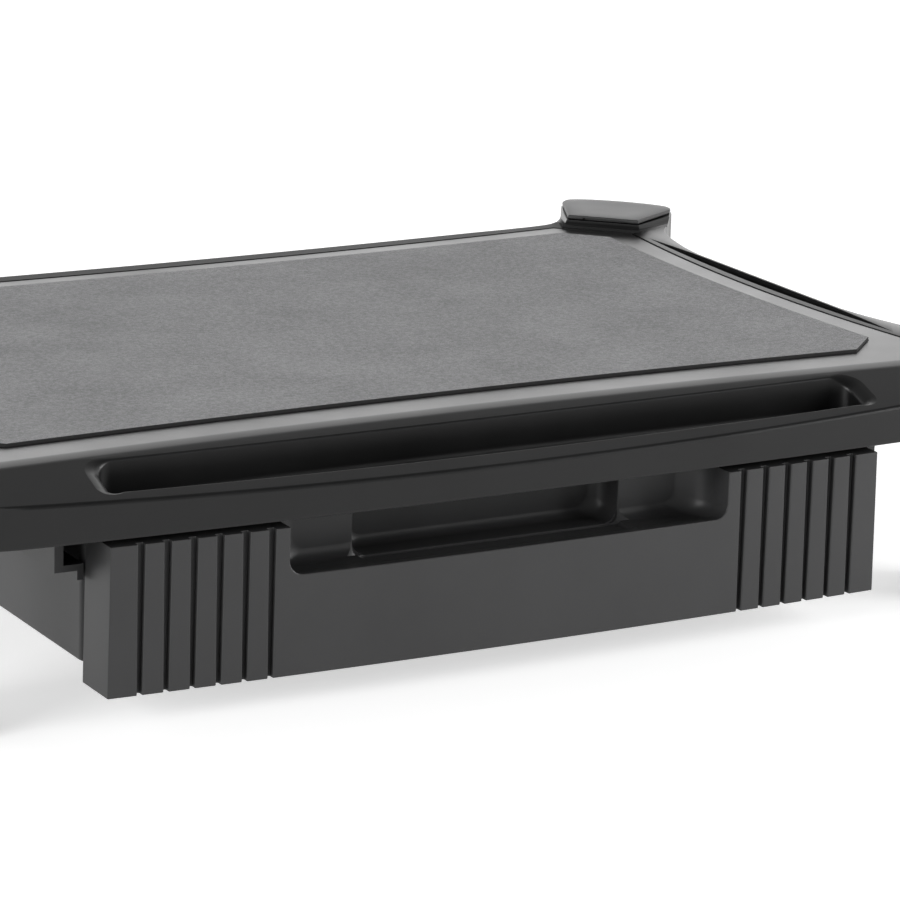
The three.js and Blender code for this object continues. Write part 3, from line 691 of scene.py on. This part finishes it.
def deck_underside(outline):
    """What is hollowed out below the plate, leaving the tray's and the troughs' own walls."""
    inner = drawn_in(outline, WALL)
    hollow = stack([at(inner, skirt_z - 5), at(inner, border_z - PLATE)])
    ceiling = slope_cutter()
    bmesh.ops.translate(ceiling, verts=ceiling.verts, vec=(0, WALL, -PLATE))
    hollow = cut(hollow, ceiling)
    tray_y = lip_y + TRAY_FRONT + TRAY_WIDTH
    jacket = block(-TRAY_HALF - TRAY_WALL, TRAY_HALF + TRAY_WALL, lip_y - 5, tray_y + TRAY_WALL,
                   border_z - TRAY_FLOOR_DROP - TRAY_WALL, border_z)
    hollow = cut(hollow, jacket)
    for side in (1, -1):
        wall = grown(trough_outline(side), TROUGH_WALL)
        hollow = cut(hollow, stack([at(wall, rim_z - TROUGH_DEPTH - TROUGH_WALL), at(wall, border_z)]))
    return hollow


RIB_DEPTH = 6.5
RIB_HALF = 1
RIB_ENDS = 159.6


def rib_block(x0, x1, y0, y1):
    return block(x0, x1, y0, y1, border_z - PLATE - RIB_DEPTH, border_z - PLATE + 0.5)


def deck_ribs():
    start = lip_y + TRAY_FRONT + TRAY_WIDTH
    length = REAR_Y - start
    lengthways = [rib_block(x - RIB_HALF, x + RIB_HALF, start, REAR_Y - 1.5)
                  for x in (-RIB_ENDS, -RIB_ENDS / 2, 0, RIB_ENDS / 2, RIB_ENDS)]
    across = [rib_block(-RIB_ENDS, RIB_ENDS, y - RIB_HALF, y + RIB_HALF)
              for y in [start + length * t for t in (0.15, 0.4, 0.65, 0.9)]]
    return [*lengthways, *across]


DECK_SCREW = {"shank": 1.8, "head": 3.6, "head_height": 2, "length": 9}
PANEL_SCREW = {"shank": 1.5, "head": 3, "head_height": 1.8, "length": 10}
SLEEVE_SEAT = 3.3
RAIL_SEAT = 2.8
POST_RADIUS = 4.7
BORE_RADIUS = 2.1
sleeve_screws = [f"sleeve_screw_{i}" for i in range(1, 9)]
rail_screws = [f"rail_screw_{i}" for i in range(1, 7)]
front_screws = [f"front_screw_{i}" for i in range(1, 5)]


def screw_posts():
    """Bosses over the screws, each as a tube's outside and its bore."""
    posts = []
    for name in [*sleeve_screws, *rail_screws]:
        low, high = span(name)
        x, y = (low.x + high.x) / 2, (low.y + high.y) / 2 - mid_y
        seat = DECK_SCREW["head_height"] + low.z + (SLEEVE_SEAT if name in sleeve_screws else RAIL_SEAT)
        posts.append((rod(x, y, seat, border_z - PLATE + 0.5, POST_RADIUS),
                      rod(x, y, seat - 2, border_z - PLATE - 0.3, BORE_RADIUS)))
    return posts


# How far the deck's outside is drawn in, at heights above its foot and below its rim
FOOT_EDGE = ((1.4, 0), (0.5, 0.35), (0.1, 0.9), (0, 1.6))
RIM_EDGE = ((0, 0.9), (0.12, 0.45), (0.42, 0.12), (0.9, 0))
# Section of the fine line along the rim's foot: how far out, and how high
RIM_LINE = ((-0.15, -0.9), (0.75, -0.9), (0.95, 2), (-0.35, 2))
PAD_GAP = 0.35
TROUGH_DEPTH = 9


def build_deck():
    outline = deck_outline()
    body = stack([
        *[at(grown(outline, -inwards), skirt_z + height) for inwards, height in FOOT_EDGE],
        *[at(grown(outline, -inwards), rim_z - depth) for inwards, depth in RIM_EDGE]])
    rim = rim_outline()
    body = cut(body, stack([at(rim, border_z), at(rim, border_z + 0.04),
                            at(grown(rim, RIM_RAMP), rim_z + 0.02),
                            at(grown(rim, RIM_RAMP + 2), rim_z + 8)]))
    body = joined(body, tower(outline))
    body = joined(body, flipped(tower(outline)))
    line = [at(grown(rim, out), border_z + height) for out, height in RIM_LINE]
    body = cut(body, stack(line, ring=True))
    pocket = grown(pad_outline(), PAD_GAP)
    body = cut(body, stack([at(pocket, border_z - 1), at(pocket, rim_z + 10)]))
    body = cut(body, slope_cutter())
    body = cut(body, tray_cutter())
    for side in (1, -1):
        trough = trough_outline(side)
        body = cut(body, stack([at(trough, rim_z - TROUGH_DEPTH), at(trough, rim_z + 2)]))
        well = column_outline(side, 1, WALL)
        body = cut(body, stack([at(well, border_z - 4), at(well, tower_z + 2)]))
    body = cut(body, deck_underside(outline))
    body = joined(body, *deck_ribs())
    for post, bore in screw_posts():
        body = cut(joined(body, post), bore)
    return finish(body, "deck", "platform", ["deck_shell"], deck_plastic, (0, mid_y, 0))


def build_pad():
    outline = pad_outline()
    body = stack([
        at(outline, pad_low.z), at(outline, pad_high.z - 0.15), at(grown(outline, -0.15), pad_high.z)])
    pad = finish(body, "pad", "platform", ["grip_pad"], pad_rubber, (0, mid_y, 0))
    # Faces that are not level, the pad's sides and its edge chamfer, take the near-black rubber as painted
    # shade.
    pad.data.materials.append(pad_side_painted_shade)
    for face in pad.data.polygons:
        face.material_index = 1 if abs(face.normal.z) < 0.9 else 0
    return pad


# How far the cap is drawn in, and how far below its top
CAP_EDGE = ((0.35, -2.1), (0.0, -1.7), (0.0, -0.95), (0.15, -0.6), (0.55, -0.36), (3.5, -0.12), (7, 0))
CAP_GAP = 0.6
CAP_PLATE = 1.6
PLUG_GAP = 0.3
PLUG_WALL = 1.6


def build_cap(side):
    name = "right" if side > 0 else "left"
    levels = [at(column_outline(side, 1, CAP_GAP + inwards), cap_high.z + drop)
              for inwards, drop in CAP_EDGE]
    cap = stack(levels)
    plug = column_outline(side, 1, WALL + PLUG_GAP)
    bore = column_outline(side, 1, WALL + PLUG_GAP + PLUG_WALL)
    tube = stack([at(plug, cap_low.z), at(plug, cap_high.z - CAP_PLATE),
                  at(bore, cap_high.z - CAP_PLATE), at(bore, cap_low.z)], ring=True)
    cap = joined(cap, tube)
    notch = [column_point(u, v, side, 1) for u, v in ((-2, -9), (1.9, -9), (1.9, 9), (-2, 9))]
    notch = notch if side > 0 else list(reversed(notch))
    cap = cut(cap, stack([at(notch, tower_z - 1), at(notch, tower_z + 1.35)]))
    return finish(cap, f"cap_{name}", "platform", [f"tower_cap_{name}"], cap_plastic, (0, mid_y, 0))


# ---- Drawer ---------------------------------------------------------------------------
PANEL_BOW = 3.6
panel_half = panel_high.x
panel_end_y = panel_low.y + PANEL_BOW
PANEL_DEPTH = 21.7
GROOVE_COUNT = 6
GROOVE_INSET = 13.15
GROOVE_PITCH = 10.15
GROOVE_WIDTH = (1.9, 2.8)
GROOVE_DEPTH = 2.8
GROOVE_ROUND = 0.5
PANEL_TAPER = 0.9


def panel_face_y(x):
    return panel_end_y - PANEL_BOW * (1 - (x / panel_half) ** 2)


def groove_run(x, width):
    """One groove across the face, from its inner edge at x out towards the panel's end."""
    side = 1 if x > 0 else -1
    rounding = [(GROOVE_ROUND * sin(radians(a)), GROOVE_ROUND * (1 - cos(radians(a))))
                for a in (0, 30, 60, 90)]
    run = [(r - GROOVE_ROUND, back) for r, back in rounding]
    run += [(0, GROOVE_DEPTH - 0.3), (0.3, GROOVE_DEPTH), (width - 0.3, GROOVE_DEPTH),
            (width, GROOVE_DEPTH - 0.3)]
    run += [(width + GROOVE_ROUND - r, back) for r, back in reversed(rounding)]
    run = run if side > 0 else list(reversed(run))
    return [Vector((x + side * dx, panel_face_y(x + side * dx) + dy)) for dx, dy in run]


def panel_outline(rise):
    """Plan of the drawer front, counter-clockwise. Its grooves widen outwards as they rise."""
    width = GROOVE_WIDTH[0] + (GROOVE_WIDTH[1] - GROOVE_WIDTH[0]) * rise
    stations = [GROOVE_INSET + GROOVE_PITCH * i for i in range(GROOVE_COUNT)]
    grooves = sorted([panel_half - s for s in stations] + [s - panel_half for s in stations])
    face = [Vector((-panel_half + 0.15, panel_end_y + 0.12)), Vector((-panel_half + 0.5, panel_end_y))]
    for i, x in enumerate(grooves):
        if i == GROOVE_COUNT:
            face += [Vector((PULL_HALF * t, panel_face_y(PULL_HALF * t)))
                     for t in [k / 10 - 1 for k in range(21)]]
        face += groove_run(x, width)
    face += [Vector((panel_half - 0.5, panel_end_y)), Vector((panel_half - 0.15, panel_end_y + 0.12))]
    back_y = panel_end_y + PANEL_DEPTH
    sides = [Vector((panel_half, panel_end_y + 0.5)), Vector((panel_half, back_y - 0.5)),
             Vector((panel_half - 0.5, back_y)), Vector((-panel_half + 0.5, back_y)),
             Vector((-panel_half, back_y - 0.5)), Vector((-panel_half, panel_end_y + 0.5))]
    return [*face, *sides]


def recess(half, corner, sections):
    """A hand recess open at the top. Each section has its distance back from the face, the growth
    of its sides, the height of its floor and its share of the face's bow."""
    levels = []
    top = panel_high.z + 4
    for back, growth, floor, share in sections:
        wide = half + growth
        left = [Vector((-wide + corner, floor + corner)) + p for p in arc(corner, 180, 270, 8)]
        right = [Vector((wide - corner, floor + corner)) + p for p in arc(corner, 270, 360, 8)]
        run = [Vector((-wide, top)), *left, *between(left[-1], right[0], 12), *right,
               Vector((wide, top))]
        levels.append([
            Vector((p.x, panel_end_y + back + share * (panel_face_y(p.x) - panel_end_y), p.y))
            for p in run])
    return stack(levels)


def recess_sections(start, depth, floor, edge, side_round, floor_round, bow_share, fall):
    """Sections of a recess: a rounded mouth, a straight run, then corners rounded in plan and at
    the foot of the back wall."""
    sections = [(start - 3, edge + 3, floor - edge - 3, bow_share)]
    for angle in (10, 35, 60, 90):
        out = edge * (1 - sin(radians(angle)))
        sections.append((start + edge * (1 - cos(radians(angle))), out, floor - out, bow_share))
    straight = depth - side_round
    stations = [straight + side_round * sin(radians(a)) for a in (0, 12, 24, 36, 48, 60, 70)]
    stations += [depth - floor_round * (1 - sin(radians(a))) for a in (72, 80, 86)]
    for back in sorted(stations):
        turned = max(0, back - straight)
        raised = max(0, back - (depth - floor_round))
        sections.append((
            back, sqrt(side_round ** 2 - turned ** 2) - side_round,
            floor - fall + floor_round - sqrt(floor_round ** 2 - raised ** 2), 0))
    return sections


PULL_HALF = 92.5
PULL_DEPTH = 18.5
PULL_SILL = 37.7
POCKET_HALF = 56.5
POCKET_DEPTH = 32
POCKET_SILL = 34.8


def pull_cutter():
    return recess(PULL_HALF, 5.5, recess_sections(
        start=0, depth=PULL_DEPTH, floor=panel_low.z + PULL_SILL, edge=0.5, side_round=12,
        floor_round=5, bow_share=1, fall=1.9))


def pocket_cutter():
    """The finger pocket behind the pull, reached by a trench through the pull's floor."""
    floor = panel_low.z + POCKET_SILL
    trench = recess(POCKET_HALF, 3, [(3, 0, floor, 0), (PULL_DEPTH + 0.5, 0, floor, 0)])
    behind = recess(POCKET_HALF, 6, recess_sections(
        start=PULL_DEPTH - 0.05, depth=POCKET_DEPTH, floor=floor, edge=0.7, side_round=6,
        floor_round=4, bow_share=0, fall=0))
    return joined(trench, behind)


def build_drawer_front():
    height = panel_high.z - panel_low.z

    def level(z, inwards):
        squeeze = 1 - PANEL_TAPER / panel_half * (z / height)
        outline = grown(panel_outline(z / height), -inwards)
        return at([Vector((p.x * squeeze, p.y)) for p in outline], panel_low.z + z)

    panel = stack([level(0, 0.3), level(0.1, 0.08), level(0.35, 0),
                   level(height - 0.35, 0), level(height - 0.1, 0.08), level(height, 0.3)])
    back_y = panel_end_y + PANEL_DEPTH
    box = rounded_rectangle(-POCKET_HALF - 2.6, POCKET_HALF + 2.6, back_y - 1.9, panel_high.y,
                            (0.3, 0.3, 5, 5))
    under = panel_low.z + 33.7
    top = panel_high.z - 0.25
    panel = cut(panel, pull_cutter(), pocket_cutter())
    box = stack([at(grown(box, -0.2), under), at(box, under + 0.3),
                 at(box, top - 0.3), at(grown(box, -0.2), top)])
    panel = joined(panel, cut(box, pocket_cutter()))
    return finish(panel, "drawer_face", "drawer", ["drawer_front"], drawer_plastic)


RUNNER_WIDTH = 8.2
RUNNER_HEIGHT = 45
RUNNER_THICKNESS = 2.5
RUNNER_START = 22
RUNNER_END_Y = 89.09
TUB_WALL = 2.6
TUB_FLOOR = 2.5
TUB_FILLET = 3
FRONT_BORE_RADIUS = 1.8


def build_tub():
    half = tub_high.x - RUNNER_WIDTH
    front = tub_low.y
    rear = tub_high.y
    fillet_z = tub_low.z + TUB_FLOOR + TUB_FILLET

    def ring(inwards, radius):
        return rounded_rectangle(-half + inwards, half - inwards, front + inwards, rear - inwards,
                                 [radius] * 4, 6)

    levels = [at(ring(1.2, 4), tub_low.z), at(ring(0.3, 4.8), tub_low.z + 0.4),
              at(ring(0, 5), tub_low.z + 1.3), at(ring(0, 5), tub_high.z - 0.5),
              at(ring(0.35, 4.8), tub_high.z), at(ring(TUB_WALL - 0.3, 3), tub_high.z),
              at(ring(TUB_WALL, 2.8), tub_high.z - 0.4), at(ring(TUB_WALL, 2.8), fillet_z)]
    for angle in (30, 60, 88):
        turn = radians(angle)
        levels.append(at(ring(TUB_WALL + TUB_FILLET * (1 - cos(turn)), 2.8),
                         fillet_z - TUB_FILLET * sin(turn)))
    tub = stack(levels)
    cutout = POCKET_HALF + 3.6
    tub = cut(tub, block(
        -cutout, cutout, front - 2, front + TUB_WALL + 1, panel_low.z + 33.4, tub_high.z + 2))
    runner_z = panel_low.z + RUNNER_HEIGHT
    for side in (1, -1):
        inner, outer = sorted((side * (half - 0.5), side * (half + RUNNER_WIDTH)))
        tub = joined(tub, block(inner, outer, front + RUNNER_START, RUNNER_END_Y,
                                runner_z, runner_z + RUNNER_THICKNESS))
    for name in front_screws:
        low, high = span(name)
        bore = rod((low.x + high.x) / 2, 0, front - 3, front + TUB_WALL + 2, FRONT_BORE_RADIUS)
        place = Matrix.Translation((0, 0, (low.z + high.z) / 2)) @ Matrix.Rotation(pi / 2, 4, "X")
        bmesh.ops.transform(bore, matrix=place @ Matrix.Scale(-1, 4, (0, 0, 1)), verts=bore.verts)
        bmesh.ops.recalc_face_normals(bore, faces=bore.faces)
        tub = cut(tub, bore)
    return finish(tub, "drawer_box", "drawer", ["drawer_tub"], drawer_plastic)


# ---- Rails, legs and fasteners --------------------------------------------------------
def build_rails():
    for side in ("left", "right"):
        node = f"drawer_rail_{side}"
        finish(softened(node, 0.35), f"rail_{side}", "platform", [node], rail_plastic)


def build_legs():
    for end in ("front", "rear"):
        for side in ("left", "right"):
            place = f"{end}_{side}"
            finish(softened(f"leg_sleeve_{place}", 0.4), f"sleeve_{place}", "platform",
                   [f"leg_sleeve_{place}"], leg_plastic)
            finish(softened(f"leg_{place}", 0.4), f"inner_leg_{place}", f"leg_{place}",
                   [f"leg_{place}"], leg_plastic)
            finish(softened(f"foot_pad_{place}", 0.8, 3), f"sole_{place}", f"leg_{place}",
                   [f"foot_pad_{place}"], sole_rubber)


def screw_solid(shank, head, head_height, length):
    """A pan-head screw with a cross recess, pointing up, its head's upper face at the origin."""
    bm = bmesh.new()
    profile = [(0, -head_height), (head * 0.45, -head_height * 0.97), (head * 0.75, -head_height * 0.82),
               (head * 0.93, -head_height * 0.5), (head, -head_height * 0.15), (head * 0.97, 0),
               (shank, 0), (shank, length - shank), (0.3, length - 0.2), (0, length)]
    verts = [bm.verts.new((x, 0, z)) for x, z in profile]
    edges = [bm.edges.new(pair) for pair in zip(verts, verts[1:])]
    bmesh.ops.spin(bm, geom=verts + edges, cent=(0, 0, 0), axis=(0, 0, 1), angle=2 * pi,
                   steps=24, use_merge=True)
    bmesh.ops.remove_doubles(bm, verts=bm.verts, dist=0.001)
    bmesh.ops.recalc_face_normals(bm, faces=bm.faces)
    reach = head * 0.6
    slot = head * 0.13
    depth = head_height * 0.7
    bm = cut(bm, block(-reach, reach, -slot, slot, -head_height - 1, depth - head_height))
    return cut(bm, block(-slot, slot, -reach, reach, -head_height - 1, depth - head_height))


SCREW_TURN = 0.7


def place_screws(nodes, body, sizes, level):
    """Puts a screw at each node, its slots turned a little further each time."""
    shape = scratch_object(screw_solid(**sizes))
    for index, node in enumerate(nodes, 1):
        low, high = span(node)
        bm = bmesh.new()
        bm.from_mesh(shape.data)
        bmesh.ops.rotate(bm, verts=bm.verts, matrix=Matrix.Rotation(SCREW_TURN * index, 3, "Z"))
        if level:
            bmesh.ops.rotate(bm, verts=bm.verts, matrix=Matrix.Rotation(pi / 2, 3, "X"))
            seat = Vector(((low.x + high.x) / 2, high.y - sizes["head_height"], (low.z + high.z) / 2))
        else:
            seat = Vector(((low.x + high.x) / 2, (low.y + high.y) / 2, low.z + sizes["head_height"]))
        finish(bm, f"{node}_turned", body, [node], screw_steel, seat)
    bpy.data.objects.remove(shape)


build_deck()
build_pad()
build_cap(1)
build_cap(-1)
build_drawer_front()
build_tub()
build_rails()
build_legs()
place_screws(sleeve_screws, "platform", DECK_SCREW, level=False)
place_screws(rail_screws, "platform", DECK_SCREW, level=False)
place_screws(front_screws, "drawer", PANEL_SCREW, level=True)


# ---- Floor and light ------------------------------------------------------------------
FLOOR_HALF = 12
LIGHT_TARGET = Vector((0, -0.1, 0.05))
# The room's brightness: from below and above a direction's height, and in front and behind
LOW_HEIGHT, HIGH_HEIGHT = 0.32, 0.62
OVERHEAD = 0.18
FRONT_REACH, BACK_REACH = -0.4, 0.5
FRONT_STRENGTH, BACK_STRENGTH = 0.45, 2.6


def build_floor():
    shader = Shader("floor_paint", Base_Color=(0.8, 0.8, 0.8, 1), Roughness=0.8,
                    Emission_Color=(1, 1, 1, 1), Emission_Strength=0.55)
    bm = bmesh.new()
    bmesh.ops.create_grid(bm, x_segments=1, y_segments=1, size=FLOOR_HALF)
    mesh = bpy.data.meshes.new("floor")
    bm.to_mesh(mesh)
    bm.free()
    mesh.materials.append(shader.material)
    floor = bpy.data.objects.new("floor", mesh)
    bpy.context.scene.collection.objects.link(floor)


def build_light(name, place, width, height, power):
    data = bpy.data.lights.new(name, "AREA")
    data.shape = "RECTANGLE"
    data.size = width
    data.size_y = height
    data.energy = power
    lamp = bpy.data.objects.new(name, data)
    bpy.context.scene.collection.objects.link(lamp)
    facing = (LIGHT_TARGET - Vector(place)).to_track_quat("-Z", "Y").to_matrix().to_4x4()
    lamp.matrix_world = Matrix.Translation(place) @ facing


def build_surroundings():
    """A pale room: bright below and at the horizon, dimmer overhead, and brighter behind."""
    world = bpy.data.worlds.new("studio")
    bpy.context.scene.world = world
    world.use_nodes = True
    nodes, links = world.node_tree.nodes, world.node_tree.links
    place = nodes.new("ShaderNodeTexCoord")
    split = nodes.new("ShaderNodeSeparateXYZ")
    height = nodes.new("ShaderNodeValToRGB")
    depth = nodes.new("ShaderNodeMapRange")
    scale = nodes.new("ShaderNodeMath")
    scale.operation = "MULTIPLY"
    links.new(place.outputs["Generated"], split.inputs[0])
    links.new(split.outputs["Z"], height.inputs[0])
    links.new(split.outputs["Y"], depth.inputs["Value"])
    depth.inputs["From Min"].default_value = FRONT_REACH
    depth.inputs["From Max"].default_value = BACK_REACH
    depth.inputs["To Min"].default_value = FRONT_STRENGTH
    depth.inputs["To Max"].default_value = BACK_STRENGTH
    links.new(height.outputs[0], scale.inputs[0])
    links.new(depth.outputs[0], scale.inputs[1])
    links.new(scale.outputs[0], nodes["Background"].inputs["Strength"])
    nodes["Background"].inputs["Color"].default_value = (1, 1, 1, 1)
    stops = height.color_ramp.elements
    stops[0].position = LOW_HEIGHT
    stops[0].color = (1, 1, 1, 1)
    stops[1].position = HIGH_HEIGHT
    stops[1].color = (OVERHEAD, OVERHEAD, OVERHEAD, 1)


build_floor()
build_surroundings()
build_light("left_softbox", (-1.9, -0.75, 0.55), 0.8, 1.0, 26)
build_light("right_softbox", (1.7, -1.0, 0.55), 1.0, 1.0, 30)
bpy.context.scene.view_settings.view_transform = "Standard"
